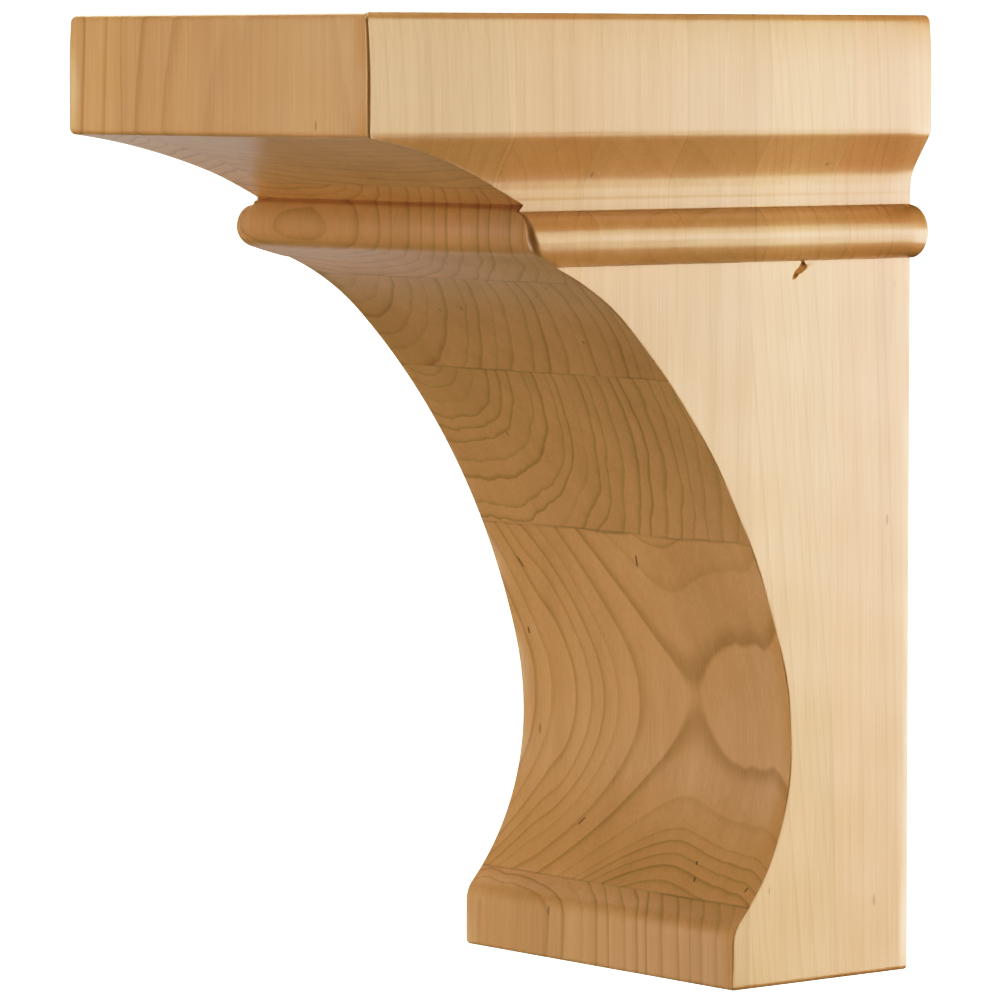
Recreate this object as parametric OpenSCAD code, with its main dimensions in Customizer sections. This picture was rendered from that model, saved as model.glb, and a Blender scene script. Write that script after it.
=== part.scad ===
// Wooden corbel: a moulded block on a curved bracket that fixes flat to a wall.
// X is the width, Y the depth (the wall is the plane y = 0 and the front faces -Y), Z is up.
// The origin is at the middle of the flat back. All sizes are in millimetres.

/* [Overall size] */
// Height from the foot to the top face
overall_h = 254; // [236:1:308]
// Width across the top block
overall_w = 127; // [118:1:170]
// Depth of the top block from the wall
overall_d = 188; // [165:1:240]

/* [Top block] */
// Height of the square-sided block at the top
block_h = 31; // [20:1:45]
// Height of the slope under the block's sides
bevel_h = 11; // [6:0.5:18]
// Radius of the hollow under the block's front
cove_r = 155; // [80:1:300]
// Height of the upright neck between that slope and the bead
neck_h = 8; // [4:0.5:14]

/* [Bead] */
// Height of the half-round bead on each side, which stands out by half of this
bead_h = 14; // [9:0.5:18]
// Distance of the bead's nose from the wall
nose_d = 135.6; // [115:0.2:155]
// Radius under the nose
nose_r = 6; // [4:0.2:8]
// How far the nose sits above the side bead's centre line
nose_rise = 1.5; // [0:0.1:3]
// Radius of the nearly flat face above the nose
crown_r = 15; // [12:0.5:30]
// How far the groove over the bead lies behind the nose
groove_d = 2.8; // [2.2:0.1:4]
// Height of the groove's bottom above the top of the side bead
groove_rise = 1.8; // [1:0.1:3]
// Height of the lip that leads into the groove
lip_h = 1; // [0.4:0.1:2]

/* [Bracket] */
// Width of the bracket below the bead
body_w = 111; // [95:0.5:115]
// Depth of the foot from the wall
toe_d = 62; // [54:0.5:74]
// Radius that rounds the foot's upper front edge
toe_r = 8; // [3:0.5:12]
// Depth where the bracket is thinnest
throat_d = 41.8; // [34:0.2:51]
// Height of the thinnest place above the foot's underside
throat_h = 63.3; // [56:0.1:76]
// Radius of the hollow from the foot to the thinnest place
low_r = 67; // [58:1:80]
// Radius of the hollow just above the thinnest place
mid_r = 81; // [70:1:100]
// Turn of that hollow before the long, flatter stretch above it, in degrees
mid_turn = 15.4; // [12:0.2:19]
// Radius of the hollow under the bead
upper_r = 71; // [50:1:90]
// Length of the straight run from that hollow to the nose
underside_run = 6; // [2:0.5:12]
// Rise of that straight run above level, in degrees
underside_angle = 18; // [12:1:26]

/* [Edges] */
// Radius of the edges around the top face
top_r = 2; // [0.5:0.1:3]
// Radius of the soft edge between the block's sides and the slope under them
bevel_r = 5; // [1:0.5:6]
// Radius of the block's lower front edge
block_r = 1.5; // [0.5:0.1:3]
// Radius where the slope meets the neck
neck_r = 1.5; // [0.5:0.1:3]
// Radius of the edges around the foot's underside
foot_r = 1.2; // [0.5:0.1:3]
// Radius of the block's upright front corners
corner_r = 1.2; // [0.5:0.1:3]

/* [Hidden] */
// Furthest that a straight facet strays from the true curve
curve_error = 0.003;

// Heights above the foot's underside
block_z = overall_h - block_h;
neck_z = block_z - bevel_h;
bead_top_z = neck_z - neck_h;
bead_z = bead_top_z - bead_h / 2;
nose_z = bead_z + nose_rise;
groove_z = bead_top_z + groove_rise;

function unit(v) = v / norm(v);
function heading(a) = [cos(a), sin(a)];
function bearing(v) = atan2(v[1], v[0]);
function turn(u, v) = atan2(u[0] * v[1] - u[1] * v[0], u * v);

// Points along the arc of radius r about c, from the direction of a to the direction of b,
// turning the shorter way
function arc(c, r, a, b) =
    let (start = bearing(a - c), sweep = turn(a - c, b - c),
         steps = ceil(abs(sweep) / (2 * acos(1 - curve_error / r))))
    [for (i = [0 : steps]) c + r * heading(start + sweep * i / steps)];

// Points that round the corner b, on the way from a to c, with radius r
function rounded(a, b, c, r) =
    let (u = unit(b - a), v = unit(c - b), t = turn(u, v), reach = r * tan(abs(t) / 2),
         side = t > 0 ? [-u[1], u[0]] : [u[1], -u[0]])
    arc(b - u * reach + side * r, r, b - u * reach, b + v * reach);

// Centre of the circle of radius r through a and b, on the right of a to b
function arc_centre(a, b, r) =
    let (half = (b - a) / 2, side = unit([half[1], -half[0]]))
    a + half + side * sqrt(r * r - half * half);

// Radius of the circle that holds the circles (a, ra) and (b, rb), touches both, and touches the
// first on the side away from the unit direction u
function bridge_radius(a, ra, b, rb, u) =
    let (w = a - b, d = ra - rb)
    ra + (d * d - w * w) / (2 * (w * u - d));

// The same points on the other side of the upright axis, travelled the same way round
function mirrored(points) = [for (i = [len(points) - 1 : -1 : 0]) [-points[i][0], points[i][1]]];

// The foot's upper front edge and the hollow above it, as [distance from the wall, height]
throat = [throat_d, throat_h];
low_c = throat + [low_r, 0];
toe_c = [toe_d - toe_r, throat_h - sqrt(pow(low_r + toe_r, 2) - pow(low_c[0] - toe_d + toe_r, 2))];
toe_low = toe_c + [toe_r, 0];
toe_high = toe_c + unit(low_c - toe_c) * toe_r;

// The nose, and the three hollows between the thinnest place and the nose's underside
nose = [nose_d, nose_z];
nose_c = nose - [nose_r, 0];
nose_low = nose_c + nose_r * heading(underside_angle - 90);
underside = nose_low - underside_run * heading(underside_angle);
upper_c = underside + upper_r * heading(underside_angle - 90);
mid_c = throat + [mid_r, 0];
long_r = bridge_radius(mid_c, mid_r, upper_c, upper_r, heading(-mid_turn));
long_c = mid_c + (long_r - mid_r) * heading(-mid_turn);
mid_end = mid_c - mid_r * heading(-mid_turn);
upper_start = upper_c + unit(upper_c - long_c) * upper_r;

// The face above the nose, and the groove
crown_c = nose - [crown_r, 0];
lip_z = groove_z - lip_h;
lip = [crown_c[0] + sqrt(pow(crown_r, 2) - pow(lip_z - nose_z, 2)), lip_z];
groove = [nose_d - groove_d, groove_z];

// The hollow under the block, and the rounded edge that it runs into
cove_c = arc_centre(groove, [overall_d, block_z], cove_r);
edge_d = overall_d - block_r;
edge_c = [edge_d, cove_c[1] + sqrt(pow(cove_r + block_r, 2) - pow(edge_d - cove_c[0], 2))];
edge_low = edge_c + unit(cove_c - edge_c) * block_r;
edge_high = edge_c + [block_r, 0];

// Outline seen from the side: distance from the wall against height
front_points = concat(
    [[0, 0]],
    rounded([0, 0], [toe_d, 0], toe_low, foot_r),
    arc(toe_c, toe_r, toe_low, toe_high),
    arc(low_c, low_r, toe_high, throat),
    arc(mid_c, mid_r, throat, mid_end),
    arc(long_c, long_r, mid_end, upper_start),
    arc(upper_c, upper_r, upper_start, underside),
    arc(nose_c, nose_r, nose_low, nose),
    arc(crown_c, crown_r, nose, lip),
    arc(cove_c, cove_r, groove, edge_low),
    arc(edge_c, block_r, edge_low, edge_high),
    rounded(edge_high, [overall_d, overall_h], [0, overall_h], top_r),
    [[0, overall_h]]
);

// Right half of the outline seen from the front: distance from the middle against height
body_x = body_w / 2;
block_x = overall_w / 2;
bead_c = [body_x, bead_z];
bead_r = bead_h / 2;
side_points = concat(
    rounded([0, 0], [body_x, 0], bead_c, foot_r),
    arc(bead_c, bead_r, bead_c - [0, bead_r], bead_c + [bead_r, 0]),
    arc(bead_c, bead_r, bead_c + [bead_r, 0], bead_c + [0, bead_r]),
    rounded(bead_c, [body_x, neck_z], [block_x, block_z], neck_r),
    rounded([body_x, neck_z], [block_x, block_z], [block_x, overall_h], bevel_r),
    rounded([block_x, block_z], [block_x, overall_h], [0, overall_h], top_r)
);

// Outline seen from above, with the two front corners rounded
past_wall = 1;
plan_points = concat(
    [[-block_x, past_wall]],
    rounded([-block_x, past_wall], [-block_x, -overall_d], [block_x, -overall_d], corner_r),
    rounded([-block_x, -overall_d], [block_x, -overall_d], [block_x, past_wall], corner_r),
    [[block_x, past_wall]]
);

// Solid that has the outline seen from the side at every place across its width
module front_sweep() {
    rotate([90, 0, -90])
        linear_extrude(height = overall_w + 2 * past_wall, center = true)
            polygon(front_points);
}

// Solid that has the outline seen from the front at every depth
module side_sweep() {
    translate([0, past_wall, 0])
        rotate([90, 0, 0])
            linear_extrude(height = overall_d + 2 * past_wall)
                polygon(concat(side_points, mirrored(side_points)));
}

// Solid that has the outline seen from above at every height
module plan_sweep() {
    translate([0, 0, -past_wall])
        linear_extrude(height = overall_h + 2 * past_wall)
            polygon(plan_points);
}

module corbel() {
    color("burlywood")
        translate([0, 0, -overall_h / 2])
            intersection() {
                front_sweep();
                side_sweep();
                plan_sweep();
            }
}

corbel();
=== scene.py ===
"""Looks of the wooden corbel: one carved piece of glued maple boards under a satin clear coat.

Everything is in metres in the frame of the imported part: X is the width, the wall is y = 0, the
front faces -Y and Z is up. Sizes written in millimetres are multiplied by MM. The wood's own
numbers and nodes are in millimetres, in x, depth from the wall and z.
"""

import math
from collections import namedtuple

import bpy
import numpy as np
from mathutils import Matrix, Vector
from mathutils.bvhtree import BVHTree


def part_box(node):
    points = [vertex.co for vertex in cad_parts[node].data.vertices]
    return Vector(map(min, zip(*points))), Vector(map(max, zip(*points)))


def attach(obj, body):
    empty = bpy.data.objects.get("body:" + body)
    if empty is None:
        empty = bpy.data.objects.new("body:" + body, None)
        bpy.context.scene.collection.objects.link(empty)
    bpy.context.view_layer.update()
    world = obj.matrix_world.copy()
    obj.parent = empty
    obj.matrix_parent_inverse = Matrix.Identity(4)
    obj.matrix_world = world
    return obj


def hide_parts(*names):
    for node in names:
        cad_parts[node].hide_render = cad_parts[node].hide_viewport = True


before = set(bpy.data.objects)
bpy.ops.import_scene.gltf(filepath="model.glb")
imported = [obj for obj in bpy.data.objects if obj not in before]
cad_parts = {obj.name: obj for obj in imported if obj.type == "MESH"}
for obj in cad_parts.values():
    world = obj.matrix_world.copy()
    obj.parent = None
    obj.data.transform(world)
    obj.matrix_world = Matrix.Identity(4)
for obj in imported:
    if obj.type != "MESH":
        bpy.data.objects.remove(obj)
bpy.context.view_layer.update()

MM = 0.001

# ---------------------------------------------------------------------------------------------
# Carving
# ---------------------------------------------------------------------------------------------

# How many heights the CAD's outline is read at, how far inside its ends the reading starts, how
# far in front of the wall the side is read, and how far away the rays start
OUTLINE_HEIGHTS = 5000
OUTLINE_SKIN = 0.01 * MM
SIDE_READING = 1 * MM
RAY_START = 1.0
# Share of the height below which there is only the plain body
BODY_SHARE = 0.6
# How near the body's half width counts as the neck, and how near the widest counts as the block
BODY_SLACK = 0.1 * MM
BLOCK_SLACK = 0.05 * MM

# Spacing of the rows of the carved mesh up the outline, and how many times closer they are by the chip
ROW_STEP = 0.62 * MM
CHIP_ROWS = 3
CHIP_MARGIN = 1 * MM
# Points round a front corner and a back corner, and along the front, the back and each side, and
# the decimals that the right side's shares are rounded to, so that no two nearly coincide
CORNER_POINTS = 6
BACK_CORNER_POINTS = 3
FRONT_POINTS = 27
BACK_POINTS = 8
RIGHT_POINTS = 22
LEFT_POINTS = 20
SHARE_DECIMALS = 5
# Extra points across the chip, and the share of the side's depth to each side that they cover
CHIP_POINTS = 44
CHIP_SPREAD = 0.05

# Radius of the eased upright edges of the block and of the rest, and how much more the bead's are
BLOCK_EASE = 0.8 * MM
BODY_EASE = 0.4 * MM
BEAD_EASE = 1.9 * MM
# How far above and below the bead's middle its rounder edges fade out
BEAD_FADE = 6 * MM
# Strip beside each eased edge that keeps the flat's shading flat
EDGE_GUARD = 0.3 * MM
# How far round the corner of the neck is worn, and how high above the bead's middle that starts
NECK_WEAR = 2.6 * MM
NECK_FOOT = 10 * MM
NECK_FOOT_FADE = 2 * MM
# How far the wearing looks to each side, and how far below the block it fades in, in NECK_WEARs
NECK_LOOK = 3
NECK_HEAD_FADE = 2.5
# Radius of the edges against the wall
BACK_EASE = 0.5 * MM
# How far sanding has pulled in the block's sides at their top edge, and how far down that reaches
BLOCK_BELLY = 0.9 * MM
BELLY_REACH = 16 * MM
# Heights above the bead's middle at which the block's ease starts, and its belly may start
BLOCK_EASE_FROM = 14 * MM
BLOCK_BELLY_FROM = 30 * MM
# Height of the sanding waves, their spacing, and where they start on the right, left and front
WAVE = 0.10 * MM
WAVE_SPACING = 26 * MM
WAVE_RIGHT = 0.7
WAVE_LEFT = 3.9
WAVE_FRONT = 5.3
# Slant of the first set of waves, the second set's steepness and slant, and its shift in phase
WAVE_SLANT = 0.35
CROSS_RISE = 0.62
CROSS_SLANT = 0.8
CROSS_SHIFT = 2.1
# How near a flat a point is to belong to it
FLAT_SKIN = 0.02 * MM
# Edges that turn by more than this stay sharp
SHARP_ANGLE = math.radians(38)

# The torn chip under the bead on the +X side, as (depth from the wall, height above the bead's
# middle): the ends of its steep edge, its width and its depth
CHIP_LOW = np.array([42.4, -11.4]) * MM
CHIP_HIGH = np.array([38.4, -7.0]) * MM
CHIP_WIDTH = 2.6 * MM
CHIP_DEPTH = 1.3 * MM
# Share of its width that it has at its low end, and shares of its length over which its ends fade
CHIP_LOW_WIDTH = 0.35
CHIP_LOW_FADE = 0.2
CHIP_HIGH_FADE = 0.06
CHIP_END = 1.02
# How ragged the chip's edge is, in a long and a short ripple, and how wide its steep side
CHIP_RAG = 0.14 * MM
LONG_RIPPLE = 11
SHORT_RIPPLE = 23
SHORT_RIPPLE_SHARE = 0.6
CHIP_STEEP = 0.45 * MM


def cad_outline(node):
    """Heights, with the depth of the front and the half width of the side at each, read off the CAD."""
    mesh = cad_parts[node].data
    tree = BVHTree.FromPolygons([v.co for v in mesh.vertices], [p.vertices for p in mesh.polygons])
    low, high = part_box(node)
    heights = np.linspace(low.z + OUTLINE_SKIN, high.z - OUTLINE_SKIN, OUTLINE_HEIGHTS)
    depths = []
    halves = []
    for z in heights:
        front = tree.ray_cast(Vector((0, low.y - RAY_START, z)), Vector((0, 1, 0)))[0]
        side = tree.ray_cast(Vector((high.x + RAY_START, high.y - SIDE_READING, z)), Vector((-1, 0, 0)))[0]
        depths.append(high.y - front.y)
        halves.append(side.x)
    return heights, np.array(depths), np.array(halves)


def bead_middle(heights, halves):
    """Height of the bead: the widest place below the neck, the narrowest under the block."""
    upper = heights > heights[0] + BODY_SHARE * (heights[-1] - heights[0])
    body = np.median(halves[~upper])
    neck = heights[upper & (halves < body + BODY_SLACK)].max()
    bead = upper & (heights < neck)
    return heights[bead][np.argmax(halves[bead])]


def soften_neck(heights, halves, bead):
    """The side's outline with the corner where the slope under the block meets the neck worn round."""
    edge = heights[halves > halves.max() - BLOCK_SLACK].min()
    step = heights[1] - heights[0]
    count = int(NECK_LOOK * NECK_WEAR / step)
    reach = np.arange(-count, count + 1) * step
    weights = np.exp(-(reach / NECK_WEAR) ** 2 / 2)
    worn = np.convolve(np.pad(halves, len(reach) // 2, "edge"), weights / weights.sum(), "valid")
    share = np.clip((edge - heights) / (NECK_HEAD_FADE * NECK_WEAR), 0, 1)
    share = share * np.clip((heights - bead - NECK_FOOT) / NECK_FOOT_FADE, 0, 1)
    return halves + (worn - halves) * share


def row_heights(heights, depths, halves, bead):
    """Heights of the mesh's rows, even along the outline and closer by the chip."""
    step = np.sqrt(np.diff(heights) ** 2 + np.diff(depths) ** 2 + np.diff(halves) ** 2)
    middle = (heights[1:] + heights[:-1]) / 2 - bead
    near_chip = (middle > CHIP_LOW[1] - CHIP_MARGIN) & (middle < CHIP_HIGH[1] + CHIP_MARGIN)
    run = np.concatenate([[0], np.cumsum(step * np.where(near_chip, CHIP_ROWS, 1))])
    count = int(run[-1] / ROW_STEP)
    return np.interp(np.linspace(0, run[-1], count), run, heights)


def side_fractions(heights, depths, bead):
    """Where the points of the right and the left side stand, as shares of the side's depth."""
    depth_there = depths[np.argmin(abs(heights - bead - CHIP_LOW[1]))]
    chip_at = (CHIP_LOW[0] + CHIP_HIGH[0]) / 2 / depth_there
    even = np.linspace(0, 1, RIGHT_POINTS)
    close = np.linspace(chip_at - CHIP_SPREAD, chip_at + CHIP_SPREAD, CHIP_POINTS)
    right = np.unique(np.concatenate([even, close]).round(SHARE_DECIMALS))
    return right, np.linspace(0, 1, LEFT_POINTS)


def section(depth, half, ease, fractions_right, fractions_left):
    """One closed row, clockwise from above: right side, front, left side, back."""
    corner = np.radians(np.linspace(0, 90, CORNER_POINTS))
    back = np.radians(np.linspace(0, 90, BACK_CORNER_POINTS))
    reach = depth - ease - BACK_EASE
    flat = reach - EDGE_GUARD
    inner = half - ease - EDGE_GUARD
    points = []
    for a in back[:-1]:
        points.append((half - BACK_EASE * (1 - math.sin(a)), -BACK_EASE * (1 - math.cos(a))))
    for t in fractions_right:
        points.append((half, -BACK_EASE - t * flat))
    points.append((half, -BACK_EASE - reach))
    for a in corner[1:]:
        points.append((half - ease * (1 - math.cos(a)), -depth + ease * (1 - math.sin(a))))
    for t in np.linspace(0, 1, FRONT_POINTS):
        points.append((inner - 2 * inner * t, -depth))
    for a in corner[::-1][:-1]:
        points.append((-half + ease * (1 - math.cos(a)), -depth + ease * (1 - math.sin(a))))
    points.append((-half, -BACK_EASE - reach))
    for t in fractions_left[::-1]:
        points.append((-half, -BACK_EASE - t * flat))
    for a in back[::-1][1:]:
        points.append((-half + BACK_EASE * (1 - math.sin(a)), -BACK_EASE * (1 - math.cos(a))))
    for t in np.linspace(0, 1, BACK_POINTS)[1:-1]:
        points.append((-half + BACK_EASE + 2 * (half - BACK_EASE) * t, 0.0))
    return points


def chip_depth(y, z):
    """How far the chip bites into the side at a place: steep at its edge, then a ramp up."""
    edge = CHIP_HIGH - CHIP_LOW
    length = math.hypot(*edge)
    way = edge / length
    off = np.stack([-y, z], axis=-1) - CHIP_LOW
    along = (off @ way) / length
    across = off @ np.array([way[1], -way[0]])
    ripple = np.sin(along * LONG_RIPPLE) + SHORT_RIPPLE_SHARE * np.sin(along * SHORT_RIPPLE + 1)
    across = across + CHIP_RAG * ripple
    width = CHIP_WIDTH * (CHIP_LOW_WIDTH + (1 - CHIP_LOW_WIDTH) * np.clip(along, 0, 1))
    steep = np.clip(-across / CHIP_STEEP, 0, 1)
    ramp = np.clip(1 + across / width, 0, 1)
    ends = np.clip(along / CHIP_LOW_FADE, 0, 1) * np.clip((CHIP_END - along) / CHIP_HIGH_FADE, 0, 1)
    return CHIP_DEPTH * steep * ramp * ends


def sanding(along, z, phase):
    """How deep the slow hollows that hand sanding leaves are, in two sets that cross."""
    k = 2 * math.pi / WAVE_SPACING
    first = np.sin(k * (z + WAVE_SLANT * along) + phase)
    second = np.sin(k * (CROSS_RISE * z - CROSS_SLANT * along) + CROSS_SHIFT * phase + 1)
    return WAVE * (1 + (first + second) / 2) / 2


def wear(x, y, z, depth, half, ease, bead):
    """The rows' points, with the flats hollowed by sanding and the chip torn out of the right side."""
    on_right = x > half - FLAT_SKIN
    on_left = x < -half + FLAT_SKIN
    on_front = (y < -depth + FLAT_SKIN) & (abs(x) < half - ease)
    x = x - np.where(on_right, sanding(y, z, WAVE_RIGHT), 0)
    x = x + np.where(on_left, sanding(y, z, WAVE_LEFT), 0)
    y = y + np.where(on_front, sanding(x, z, WAVE_FRONT), 0)
    x = x - np.where(on_right, chip_depth(y, z - bead), 0)
    return x, y, z


def skin(verts, width):
    """Faces between closed rows of points, and one across each end."""
    count = len(verts)
    faces = []
    for a in range(0, count - width, width):
        b = a + width
        for j in range(width):
            k = (j + 1) % width
            faces.append((a + k, a + j, b + j, b + k))
    faces.append(tuple(range(width)))
    faces.append(tuple(range(count - width, count))[::-1])
    return faces


def carve():
    """The corbel as one mesh that keeps to the CAD's outline, with eased edges and its chip."""
    heights, depths, halves = cad_outline("corbel")
    bead = bead_middle(heights, halves)
    levels = row_heights(heights, depths, halves, bead)
    depth = np.interp(levels, heights, depths)
    half = np.interp(levels, heights, soften_neck(heights, halves, bead))

    block = levels > bead + BLOCK_BELLY_FROM
    lift = np.clip((levels - (heights[-1] - BELLY_REACH)) / BELLY_REACH, 0, 1)
    half = half - np.where(block, BLOCK_BELLY * lift ** 2, 0)
    near_bead = np.exp(-((levels - bead) / BEAD_FADE) ** 2)
    ease = np.where(levels > bead + BLOCK_EASE_FROM, BLOCK_EASE, BODY_EASE) + BEAD_EASE * near_bead

    right, left = side_fractions(heights, depths, bead)
    xy = np.array([section(d, h, e, right, left) for d, h, e in zip(depth, half, ease)])
    width = xy.shape[1]
    z = np.repeat(levels[:, None], width, axis=1)
    worn = wear(xy[..., 0], xy[..., 1], z, depth[:, None], half[:, None], ease[:, None], bead)
    verts = np.stack(worn, axis=-1).reshape(-1, 3)

    mesh = bpy.data.meshes.new("carved_corbel")
    mesh.from_pydata(verts.tolist(), [], skin(verts, width))
    mesh.update()
    for poly in mesh.polygons:
        poly.use_smooth = True
    mesh.set_sharp_from_angle(angle=SHARP_ANGLE)
    piece = bpy.data.objects.new("carved_corbel", mesh)
    bpy.context.scene.collection.objects.link(piece)
    return piece


# ---------------------------------------------------------------------------------------------
# Wood
# ---------------------------------------------------------------------------------------------

# Depths from the wall of the glue lines between boards
GLUE_LINES = [28.0, 56.4, 84.8, 113.2, 141.6]
# The front board is two strips glued edge to edge at this x
STRIP_EDGE = -40.0
# Distances from the middle of a glue line between which it fades out
GLUE_CORE = 0.08
GLUE_EDGE = 0.36

# A board: its pith's x and depth, how flat its rings are across x (0 to 1), its ring width, the
# lean of its pith outwards for each millimetre up, the ring at which its count starts, and its
# tint, as factors on the wood's colour
Board = namedtuple("Board", "pith_x pith_depth flat ring_width lean start tint")
# The boards from the wall outwards, then the front board's left strip
BOARDS = [
    Board(-30, 150, 0.8, 3.4, 0.04, 0.3, (0.925, 0.88, 0.835)),
    Board(18.3, 118.1, 1.0, 3.6, 0.11, 0.0, (0.93, 0.94, 0.90)),
    Board(-45, 90, 0.62, 2.9, 0.0, 0.35, (0.90, 0.91, 0.88)),
    Board(-61, 144, 0.95, 4.6, 0.0, 0.6, (0.90, 0.89, 0.86)),
    Board(-34, 178, 0.85, 3.4, 0.0, 0.1, (0.92, 0.89, 0.84)),
    Board(25, 262, 0.7, 4.4, 0.05, 0.5, (0.90, 0.90, 0.86)),
    Board(-90, 230, 0.8, 3.8, -0.03, 0.2, (0.96, 0.96, 0.93)),
]
# What fits the boards' numbers into a colour ramp, which holds only 0 to 1: the furthest pith,
# the widest ring, and the factor and middle for the lean
PITH_RANGE = 300.0
WIDEST_RING = 10.0
LEAN_FACTOR = 2.0
LEAN_MIDDLE = 0.5
# How far apart the boards are taken to be in the noises, so that no two share a pattern
BOARD_SHIFT = 37.0

# The second board shows most, as the saddle in the arc: how far its rings bulge out at each x,
# and how far each ring lies from the ring that the saddle touches
FIGURED_BOARD = 1
SADDLE_REACH = 70.04
BULGE = [(-56, -7.8), (-44, -5.2), (-32, -1.3), (-20, 0.2), (0, 0.5), (18, 0.0), (27, 0.3), (36, -0.6),
         (40, -1.7), (45, -3.2), (50, -5.3), (56, -7.0)]
RINGS = [-23, -20, -17, -14, -12, -10, -8.3, -4.6, 0, 4.4, 7.8, 10.2, 12.5, 15, 18, 21, 25, 29, 33]

# A noise that bends the rings: its scale, its size in millimetres or rings, and its detail
Bend = namedtuple("Bend", "scale size detail")
PITH_BEND = Bend(0.02, 5.0, 1.0)
SLOW_BEND = Bend(0.035, 2.2, 2.0)
RAGGED_BEND = Bend(0.11, 0.9, 2.0)
RING_WIDTH_BEND = Bend(1.0, 0.85, 1.0)
SADDLE_BEND = Bend(0.05, 0.3, 2.0)
# How far apart neighbouring rings are in the noise that makes them uneven
RING_WIDTH_STEP = 0.43

# A noise of the grain: how much slower it changes up the grain, its scale, detail and roughness
Grain = namedtuple("Grain", "stretch scale detail roughness")
FIBRES = Grain(0.02, 1.6, 3.0, 0.6)
STREAKS = Grain(0.03, 0.16, 3.0, 0.55)
CLOUDS = Grain(0.25, 0.03, 2.0, 0.5)
# How much slower the rings' slow and ragged bends change up the grain
BEND_STRETCH = 0.16
RAG_STRETCH = 0.05

EARLY_WOOD = (0.86, 0.565, 0.285)
LATE_WOOD = (0.48, 0.265, 0.095)
# How much of the late wood's colour there is everywhere, and how much more the dark line of each
# ring, the soft band before it, and the grain's noises bring
LATE_BASE = 0.18
LINE_SHARE = 0.30
BAND_SHARE = 0.18
STREAK_SHARE = 0.34
FIBRE_SHARE = 0.36
CLOUD_SHARE = 0.42
# Where in a ring, from 0 to 1, the dark line starts, is darkest, and is cut off
LINE_START = 0.66
LINE_DARKEST = 0.93
LINE_CUT = 0.925
# How late in a ring its soft band comes, as a power
BAND_POWER = 2.0
# Strength of the faintest ring's marks
FAINTEST_RING = 0.25
# How much of the rings' contrast the sides keep, where the cut runs straight along the grain, and
# how far a face is turned sideways, from 0 to 1, when it starts to fade and when it has
SIDE_CONTRAST = 0.35
RING_FADE = (0.3, 0.85)

# A fleck: its x, depth and height, its length up the grain, and its lean to +X
Fleck = namedtuple("Fleck", "x depth z length lean")
# The flecks that show most
FLECKS = [
    Fleck(-44.5, 51.5, -21.5, 3.4, -0.55),
    Fleck(-23.2, 47.5, -91.0, 2.6, 0.9),
    Fleck(-49.0, 45.0, -41.0, 2.4, 0.0),
    Fleck(28.0, 50.5, -97.0, 1.2, -0.4),
    Fleck(30.0, 52.5, -101.0, 1.4, -0.4),
    Fleck(51.0, 53.0, -101.5, 1.4, 0.5),
    Fleck(6.0, 53.0, -18.0, 4.0, 0.25),
]
# Distances from a fleck's middle between which it fades out, across the grain and inwards
FLECK_CORE = 0.15
FLECK_EDGE = 0.5
FLECK_INNER_CORE = 2.5
FLECK_INNER_EDGE = 4.0
FLECK_SHARE = 0.7
# The scattered flecks: how close their cells are, how much they are drawn out up the grain, their
# size in cells, the chance of a cell that has none, and their strength beside the flecks above
CELL_SCALE = 0.105
CELL_STRETCH = 0.30
CELL_CORE = 0.035
CELL_EDGE = 0.06
EMPTY_CELLS = (0.55, 0.6)
SCATTERED_SHARE = 0.5
FLECK_TINT = (0.16, 0.075, 0.03)

GLUE_TINT = (0.30, 0.16, 0.07)
# The noise that breaks the glue lines up, the range of it that counts, the faintest and the
# strongest stretch, how much of their strength the lines keep on the sides, and their fade there
GLUE_BREAKS = 0.05
GLUE_RANGE = (0.38, 0.62)
GLUE_STRENGTH = (0.05, 0.42)
GLUE_ON_SIDES = 0.35
GLUE_FADE = (0.5, 1.0)

# The surface: roughness of the wood and how much late wood and fibres add, its clear coat, and
# the height of the bumps that its fibres, flecks and glue lines make
WOOD_ROUGHNESS = 0.47
LATE_ROUGHNESS = 0.08
FIBRE_ROUGHNESS = 0.08
WOOD_IOR = 1.45
COAT_ROUGHNESS = 0.25
COAT_IOR = 1.5
BUMP_STRENGTH = 0.5
BUMP_HEIGHT = 0.06 * MM
FIBRE_BUMP = 0.8
FLECK_BUMP = -1.5
GLUE_BUMP = -0.6
# A distance in millimetres that is beyond every part of the corbel
FAR = 1000.0


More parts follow.
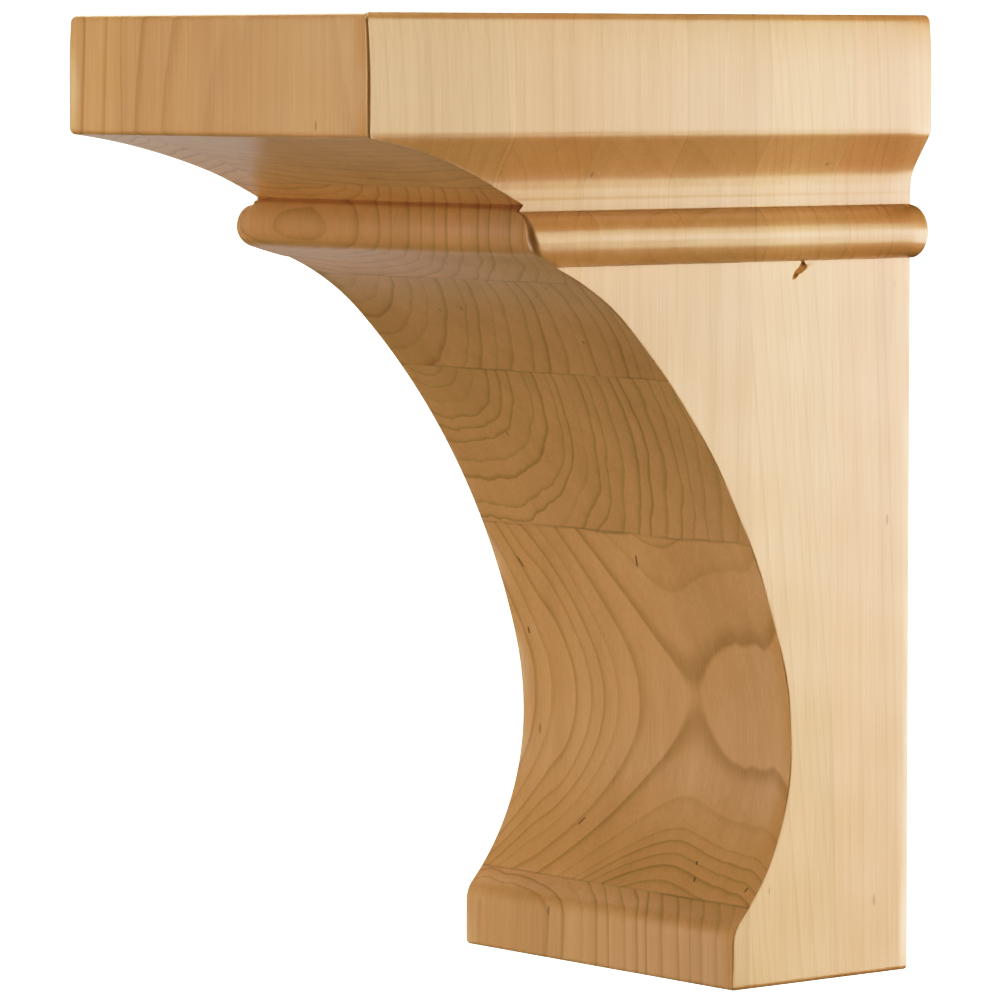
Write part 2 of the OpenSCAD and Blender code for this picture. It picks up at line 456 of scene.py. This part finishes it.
class Nodes:
    """Short names for building one material's nodes."""

    def __init__(self, material):
        material.use_nodes = True
        self.tree = material.node_tree
        self.tree.nodes.clear()

    def new(self, kind, **settings):
        node = self.tree.nodes.new(kind)
        for name, value in settings.items():
            setattr(node, name, value)
        return node

    def put(self, socket, value):
        if isinstance(value, bpy.types.NodeSocket):
            self.tree.links.new(value, socket)
        else:
            socket.default_value = value

    def math(self, operation, *values):
        node = self.new("ShaderNodeMath", operation=operation)
        for socket, value in zip(node.inputs, values):
            self.put(socket, value)
        return node.outputs[0]

    def add(self, *values):
        total = values[0]
        for value in values[1:]:
            total = self.math("ADD", total, value)
        return total

    def times(self, *values):
        total = values[0]
        for value in values[1:]:
            total = self.math("MULTIPLY", total, value)
        return total

    def minus(self, a, b):
        return self.math("SUBTRACT", a, b)

    def gap(self, a, b):
        """Distance between two numbers."""
        return self.math("ABSOLUTE", self.minus(a, b))

    def map_range(self, value, low, high, start, end, **settings):
        node = self.new("ShaderNodeMapRange", **settings)
        names = ("Value", "From Min", "From Max", "To Min", "To Max")
        for name, number in zip(names, (value, low, high, start, end)):
            self.put(node.inputs[name], number)
        return node.outputs[0]

    def step(self, value, low, high, start=0.0, end=1.0):
        """From start to end in an S curve, as value goes from low to high."""
        return self.map_range(value, low, high, start, end, interpolation_type="SMOOTHSTEP")

    def scale(self, value, low, high, start=0.0, end=1.0):
        """From start to end in a straight line, as value goes from low to high."""
        return self.map_range(value, low, high, start, end, clamp=True)

    def vector(self, x, y, z):
        node = self.new("ShaderNodeCombineXYZ")
        for socket, value in zip(node.inputs, (x, y, z)):
            self.put(socket, value)
        return node.outputs[0]

    def parts(self, vector):
        node = self.new("ShaderNodeSeparateXYZ")
        self.put(node.inputs[0], vector)
        return node.outputs[0], node.outputs[1], node.outputs[2]

    def noise(self, vector, scale, detail, roughness=0.5):
        node = self.new("ShaderNodeTexNoise")
        self.put(node.inputs["Vector"], vector)
        node.inputs["Scale"].default_value = scale
        node.inputs["Detail"].default_value = detail
        node.inputs["Roughness"].default_value = roughness
        return node.outputs[0]

    def centred(self, value):
        """A noise moved from 0 to 1 to -0.5 to 0.5."""
        return self.minus(value, 0.5)

    def swing(self, vector, bend):
        """A bend's noise, from about -size to size."""
        return self.times(self.centred(self.noise(vector, bend.scale, bend.detail)), 2 * bend.size)

    def mix(self, factor, a, b, blend="MIX"):
        """A mix of two colours, each three numbers or a socket."""
        node = self.new("ShaderNodeMix", data_type="RGBA", blend_type=blend)
        self.put(node.inputs[0], factor)
        for socket, value in ((node.inputs[6], a), (node.inputs[7], b)):
            if isinstance(value, tuple):
                value = (*value, 1.0)
            self.put(socket, value)
        return node.outputs[2]

    def blend(self, factor, a, b):
        """A mix of two numbers."""
        node = self.new("ShaderNodeMix", data_type="FLOAT")
        for socket, value in zip((node.inputs[0], node.inputs[2], node.inputs[3]), (factor, a, b)):
            self.put(socket, value)
        return node.outputs[0]

    def curve(self, value, points, handles="AUTO"):
        """A value looked up on a curve through points."""
        low, high = points[0][0], points[-1][0]
        outs = [point[1] for point in points]
        floor = min(outs)
        span = max(outs) - floor
        node = self.new("ShaderNodeFloatCurve")
        line = node.mapping.curves[0]
        while len(line.points) < len(points):
            line.points.new(0.5, 0.5)
        for spot, (a, b) in zip(line.points, points):
            spot.location = ((a - low) / (high - low), (b - floor) / span)
            spot.handle_type = handles
        node.mapping.update()
        self.put(node.inputs["Value"], self.scale(value, low, high))
        return self.add(self.times(node.outputs[0], span), floor)

    def lookup(self, index, table):
        """Row number index of a table of rows of three numbers from 0 to 1."""
        ramp = self.new("ShaderNodeValToRGB")
        ramp.color_ramp.interpolation = "CONSTANT"
        stops = ramp.color_ramp.elements
        while len(stops) < len(table):
            stops.new(1.0)
        for i, row in enumerate(table):
            stops[i].position = i / len(table)
            stops[i].color = (*row, 1.0)
        self.put(ramp.inputs[0], self.times(self.add(index, 0.5), 1 / len(table)))
        return ramp.outputs[0]


def board_of(n, x, depth):
    """Which board a place is in, and how close it is to a glue line (1 on the line)."""
    index = 0.0
    nearest = FAR
    for line in GLUE_LINES:
        index = n.add(index, n.math("GREATER_THAN", depth, line))
        nearest = n.math("MINIMUM", nearest, n.gap(depth, line))
    front = n.math("GREATER_THAN", depth, GLUE_LINES[-1])
    index = n.add(index, n.times(front, n.math("LESS_THAN", x, STRIP_EDGE)))
    strip_line = n.add(n.gap(x, STRIP_EDGE), n.times(n.minus(1.0, front), FAR))
    nearest = n.math("MINIMUM", nearest, strip_line)
    return index, n.step(nearest, GLUE_CORE, GLUE_EDGE, 1.0, 0.0)


def reach_from(n, aside, outward):
    """Distance from a pith, from the distances across and outwards."""
    return n.math("SQRT", n.add(n.times(aside, aside), n.times(outward, outward)))


def plain_rings(n, x, depth, z, index, shift, along):
    """Growth rings counted from the pith of each place's own board."""
    half = PITH_RANGE
    piths = [((b.pith_x + half) / (2 * half), b.pith_depth / half, b.flat) for b in BOARDS]
    habits = [(b.ring_width / WIDEST_RING, b.lean * LEAN_FACTOR + LEAN_MIDDLE, b.start) for b in BOARDS]
    pith_x, pith_depth, flat = n.parts(n.lookup(index, piths))
    width, lean, start = n.parts(n.lookup(index, habits))
    pith_x = n.minus(n.times(pith_x, 2 * half), half)
    pith_depth = n.times(pith_depth, half)
    lean = n.times(n.minus(lean, LEAN_MIDDLE), 1 / LEAN_FACTOR)

    ragged = n.vector(n.add(x, shift), depth, n.times(z, RAG_STRETCH))
    aside = n.times(n.add(n.minus(x, pith_x), n.swing(along, PITH_BEND)), flat)
    outward = n.minus(n.add(pith_depth, n.times(z, lean)), depth)
    reach = reach_from(n, aside, outward)
    reach = n.add(reach, n.swing(along, SLOW_BEND), n.swing(ragged, RAGGED_BEND))
    count = n.add(n.math("DIVIDE", reach, n.times(width, WIDEST_RING)), start)
    drift = n.vector(n.times(count, RING_WIDTH_STEP), shift, 0.0)
    return n.add(count, n.swing(drift, RING_WIDTH_BEND))


def figured_rings(n, x, depth, z, along):
    """Growth rings of the board with the saddle, counted by their distances from its own ring."""
    board = BOARDS[FIGURED_BOARD]
    aside = n.minus(x, board.pith_x)
    outward = n.minus(n.add(board.pith_depth, n.times(z, board.lean)), depth)
    reach = reach_from(n, aside, outward)
    lap = n.add(n.minus(reach, SADDLE_REACH), n.curve(x, BULGE), n.swing(along, SADDLE_BEND))
    return n.curve(lap, [(distance, i) for i, distance in enumerate(RINGS)], "VECTOR")


def ring_count(n, x, depth, z, index, shift):
    """Growth rings counted outwards, in each place's own board."""
    along = n.vector(n.add(x, shift), depth, n.times(z, BEND_STRETCH))
    plain = plain_rings(n, x, depth, z, index, shift, along)
    figured = figured_rings(n, x, depth, z, along)
    here = n.math("COMPARE", index, float(FIGURED_BOARD), 0.5)
    return n.blend(here, plain, figured)


def ring_marks(n, count, shift, sideways):
    """How dark each ring makes a place: a soft band that ends in a thin line at its outer edge."""
    growth = n.math("FRACT", count)
    ring = n.math("FLOOR", count)
    pick = n.new("ShaderNodeTexWhiteNoise", noise_dimensions="2D")
    n.put(pick.inputs["Vector"], n.vector(ring, shift, 0.0))
    strength = n.scale(pick.outputs[0], 0.0, 1.0, FAINTEST_RING, 1.0)
    strength = n.times(strength, n.step(sideways, *RING_FADE, 1.0, SIDE_CONTRAST))
    line = n.step(growth, LINE_START, LINE_DARKEST)
    cut = n.step(growth, LINE_CUT, 1.0, 1.0, 0.0)
    soft = n.math("POWER", growth, BAND_POWER)
    return n.add(n.times(n.times(line, cut, strength), LINE_SHARE),
                 n.times(n.times(soft, cut, strength), BAND_SHARE))


def grain_noise(n, grain, x, depth, z, shift):
    """A noise drawn out up the grain, from -0.5 to 0.5."""
    place = n.vector(n.add(x, shift), depth, n.times(z, grain.stretch))
    return n.centred(n.noise(place, grain.scale, grain.detail, grain.roughness))


def late_wood(n, marks, fine, x, depth, z, shift):
    """How much of the late wood's colour a place has, from 0 to 1."""
    streak = grain_noise(n, STREAKS, x, depth, z, shift)
    cloud = grain_noise(n, CLOUDS, x, depth, z, shift)
    late = n.add(marks, n.times(streak, STREAK_SHARE), n.times(fine, FIBRE_SHARE))
    late = n.add(late, n.times(cloud, CLOUD_SHARE), LATE_BASE)
    return n.math("MINIMUM", n.math("MAXIMUM", late, 0.0), 1.0)


def fleck_marks(n, x, depth, z, shift):
    """Short dark flecks along the grain: some scattered by chance, and those that show most."""
    cells = n.new("ShaderNodeTexVoronoi", feature="F1")
    n.put(cells.inputs["Vector"], n.vector(n.add(x, shift), depth, n.times(z, CELL_STRETCH)))
    cells.inputs["Scale"].default_value = CELL_SCALE
    chance = n.parts(cells.outputs["Color"])[0]
    mark = n.times(n.step(cells.outputs["Distance"], CELL_CORE, CELL_EDGE, 1.0, 0.0),
                   n.step(chance, *EMPTY_CELLS))
    mark = n.times(mark, SCATTERED_SHARE)
    for fleck in FLECKS:
        up = n.minus(z, fleck.z)
        aside = n.minus(n.minus(x, fleck.x), n.times(up, fleck.lean))
        up = n.step(n.math("ABSOLUTE", up), fleck.length / 4, fleck.length / 2, 1.0, 0.0)
        aside = n.step(n.math("ABSOLUTE", aside), FLECK_CORE, FLECK_EDGE, 1.0, 0.0)
        inward = n.step(n.gap(depth, fleck.depth), FLECK_INNER_CORE, FLECK_INNER_EDGE, 1.0, 0.0)
        mark = n.math("MAXIMUM", mark, n.times(up, aside, inward))
    return mark


def glue_share(n, glue, x, z, shift, sideways):
    """How dark the glue lines are at a place: broken up, and fainter on the sides."""
    breaks = n.noise(n.vector(x, shift, z), GLUE_BREAKS, 1.0)
    faint = n.scale(breaks, *GLUE_RANGE, *GLUE_STRENGTH)
    faint = n.times(faint, n.step(sideways, *GLUE_FADE, 1.0, GLUE_ON_SIDES))
    return n.times(glue, faint)


def wood_material():
    """Maple boards glued face to face: growth rings, streaks, fibres, flecks and a satin coat."""
    material = bpy.data.materials.new("maple")
    n = Nodes(material)
    in_mm = n.new("ShaderNodeVectorMath", operation="SCALE")
    n.put(in_mm.inputs[0], n.new("ShaderNodeTexCoord").outputs["Object"])
    in_mm.inputs["Scale"].default_value = 1 / MM
    x, y, z = n.parts(in_mm.outputs[0])
    depth = n.times(y, -1.0)
    facing = n.new("ShaderNodeNewGeometry").outputs["Normal"]
    sideways = n.math("ABSOLUTE", n.parts(facing)[0])

    index, glue = board_of(n, x, depth)
    shift = n.times(index, BOARD_SHIFT)
    count = ring_count(n, x, depth, z, index, shift)
    marks = ring_marks(n, count, shift, sideways)
    fine = grain_noise(n, FIBRES, x, depth, z, shift)
    late = late_wood(n, marks, fine, x, depth, z, shift)
    flecks = fleck_marks(n, x, depth, z, shift)

    colour = n.mix(late, EARLY_WOOD, LATE_WOOD)
    colour = n.mix(1.0, colour, n.lookup(index, [board.tint for board in BOARDS]), "MULTIPLY")
    colour = n.mix(n.times(flecks, FLECK_SHARE), colour, FLECK_TINT)
    colour = n.mix(glue_share(n, glue, x, z, shift, sideways), colour, GLUE_TINT)
    add_surface(n, colour, late, fine, flecks, glue)
    return material


def add_surface(n, colour, late, fine, flecks, glue):
    """The shader of the sanded wood under its satin coat."""
    shader = n.new("ShaderNodeBsdfPrincipled")
    n.put(shader.inputs["Base Color"], colour)
    rough = n.add(WOOD_ROUGHNESS, n.times(late, LATE_ROUGHNESS), n.times(fine, FIBRE_ROUGHNESS))
    n.put(shader.inputs["Roughness"], rough)
    shader.inputs["IOR"].default_value = WOOD_IOR
    shader.inputs["Coat Weight"].default_value = 1.0
    shader.inputs["Coat Roughness"].default_value = COAT_ROUGHNESS
    shader.inputs["Coat IOR"].default_value = COAT_IOR
    bump = n.new("ShaderNodeBump")
    bump.inputs["Strength"].default_value = BUMP_STRENGTH
    bump.inputs["Distance"].default_value = BUMP_HEIGHT
    relief = n.add(n.times(fine, FIBRE_BUMP), n.times(flecks, FLECK_BUMP), n.times(glue, GLUE_BUMP))
    n.put(bump.inputs["Height"], relief)
    n.put(shader.inputs["Normal"], bump.outputs[0])
    out = n.new("ShaderNodeOutputMaterial")
    n.put(out.inputs[0], shader.outputs[0])


# ---------------------------------------------------------------------------------------------
# Studio
# ---------------------------------------------------------------------------------------------

# The camera's direction, as degrees round from the front and above level, its distance, its
# lens and film width, and where it aims, measured from the middle of the part's box
VIEW_AZIMUTH = 50.89
VIEW_ELEVATION = 4.16
VIEW_DISTANCE = 1.600
VIEW_LENS = 218.7
VIEW_FILM = 36
VIEW_AIM = Vector((-3.0, 1.4, -0.4)) * MM
VIEW_END = 50

# The panel lights' size, distance and tint
PANEL_SIZE = 0.9
PANEL_DISTANCE = 1.4
PANEL_TINT = (1.0, 0.965, 0.945)
# A panel: its name, its azimuth and elevation in degrees, and its power in watts
Panel = namedtuple("Panel", "name azimuth elevation power")
PANELS = [
    Panel("key_high", 120, 12, 8.8),
    Panel("key_low", 150, -8, 12.8),
    Panel("left_low", -30, -45, 7.4),
    Panel("left", -30, -10, 4.3),
    Panel("left_high", -30, 20, 4.2),
    Panel("front_high", 0, 50, 5.2),
    Panel("side_low", 100, -50, 1.3),
    Panel("back_left", -120, -10, 1.4),
    Panel("back_low", -120, -45, 0.7),
    Panel("back_high", -110, 38, 9.0),
    Panel("top", 180, 84, 6.0),
]
# The picture's tone curve, as light in and light out: deeper shadows and softer highlights
TONE_WHITE = 1.3
TONES = [(0, 0), (0.06, 0.015), (0.12, 0.045), (0.2, 0.12), (0.31, 0.235), (0.44, 0.42), (0.6, 0.62),
         (0.8, 0.82), (1.0, 0.93), (1.3, 1.0)]
# Brightness of the white backdrop and floor, the floor's half size, and how far below the part it is
BACKDROP_LIGHT = 1.6
FLOOR_HALF = 12.0
FLOOR_DROP = 1.2


def direction(azimuth, elevation):
    """The way out to a place, from degrees round from the front towards +X and degrees above level."""
    a, e = math.radians(azimuth), math.radians(elevation)
    return Vector((math.sin(a) * math.cos(e), -math.cos(a) * math.cos(e), math.sin(e)))


def look_back(thing, middle, way, distance):
    """Puts a camera or light out along a way from the middle, and turns it to face back along it."""
    thing.location = middle + way * distance
    thing.rotation_euler = (-way).to_track_quat("-Z", "Y").to_euler()
    bpy.context.scene.collection.objects.link(thing)


def add_camera(middle):
    data = bpy.data.cameras.new("camera")
    data.lens = VIEW_LENS
    data.sensor_width = VIEW_FILM
    data.clip_end = VIEW_END
    camera = bpy.data.objects.new("camera", data)
    look_back(camera, middle + VIEW_AIM, direction(VIEW_AZIMUTH, VIEW_ELEVATION), VIEW_DISTANCE)
    bpy.context.scene.camera = camera


def add_panel(panel, middle):
    """A soft square panel light."""
    data = bpy.data.lights.new(panel.name, "AREA")
    data.shape = "SQUARE"
    data.size = PANEL_SIZE
    data.energy = panel.power
    data.color = PANEL_TINT
    light = bpy.data.objects.new(panel.name, data)
    look_back(light, middle, direction(panel.azimuth, panel.elevation), PANEL_DISTANCE)


def add_floor(level):
    """A wide pale floor, well below the part, as the part hangs from a wall.

    Only the camera sees it: the low panels shine through it, as its bounced light would.
    """
    size = FLOOR_HALF
    mesh = bpy.data.meshes.new("floor")
    corners = [(-size, -size, level), (size, -size, level), (size, size, level), (-size, size, level)]
    mesh.from_pydata(corners, [], [(0, 1, 2, 3)])
    floor = bpy.data.objects.new("floor", mesh)
    bpy.context.scene.collection.objects.link(floor)
    floor.visible_diffuse = False
    floor.visible_glossy = False
    floor.visible_shadow = False
    material = bpy.data.materials.new("pale_floor")
    n = Nodes(material)
    white = n.new("ShaderNodeEmission")
    white.inputs["Strength"].default_value = BACKDROP_LIGHT
    out = n.new("ShaderNodeOutputMaterial")
    n.put(out.inputs[0], white.outputs[0])
    mesh.materials.append(material)


def add_world():
    """A backdrop that the camera sees as white and that lights nothing."""
    world = bpy.data.worlds.new("studio")
    bpy.context.scene.world = world
    world.use_nodes = True
    tree = world.node_tree
    tree.nodes.clear()
    unlit = tree.nodes.new("ShaderNodeBackground")
    unlit.inputs["Strength"].default_value = 0.0
    out = tree.nodes.new("ShaderNodeOutputWorld")
    seen = tree.nodes.new("ShaderNodeBackground")
    seen.inputs["Strength"].default_value = BACKDROP_LIGHT
    seen.inputs["Color"].default_value = (1, 1, 1, 1)
    path = tree.nodes.new("ShaderNodeLightPath")
    mix = tree.nodes.new("ShaderNodeMixShader")
    tree.links.new(path.outputs["Is Camera Ray"], mix.inputs[0])
    tree.links.new(unlit.outputs[0], mix.inputs[1])
    tree.links.new(seen.outputs[0], mix.inputs[2])
    tree.links.new(mix.outputs[0], out.inputs[0])


def set_tones():
    """The picture's tone curve."""
    view = bpy.context.scene.view_settings
    view.view_transform = "Standard"
    view.look = "None"
    view.use_curve_mapping = True
    mapping = view.curve_mapping
    mapping.white_level = [TONE_WHITE] * 3
    curve = mapping.curves[3]
    while len(curve.points) < len(TONES):
        curve.points.new(0.5, 0.5)
    for point, (light_in, light_out) in zip(curve.points, TONES):
        point.location = (light_in / TONE_WHITE, light_out)
    mapping.update()


# ---------------------------------------------------------------------------------------------
# Scene
# ---------------------------------------------------------------------------------------------

corbel = carve()
corbel.data.materials.append(wood_material())
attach(corbel, "root")
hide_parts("corbel")

part_low, part_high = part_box("corbel")
part_middle = (part_low + part_high) / 2
add_camera(part_middle)
add_world()
add_floor(part_low.z - FLOOR_DROP)
for panel in PANELS:
    add_panel(panel, part_middle)
set_tones()
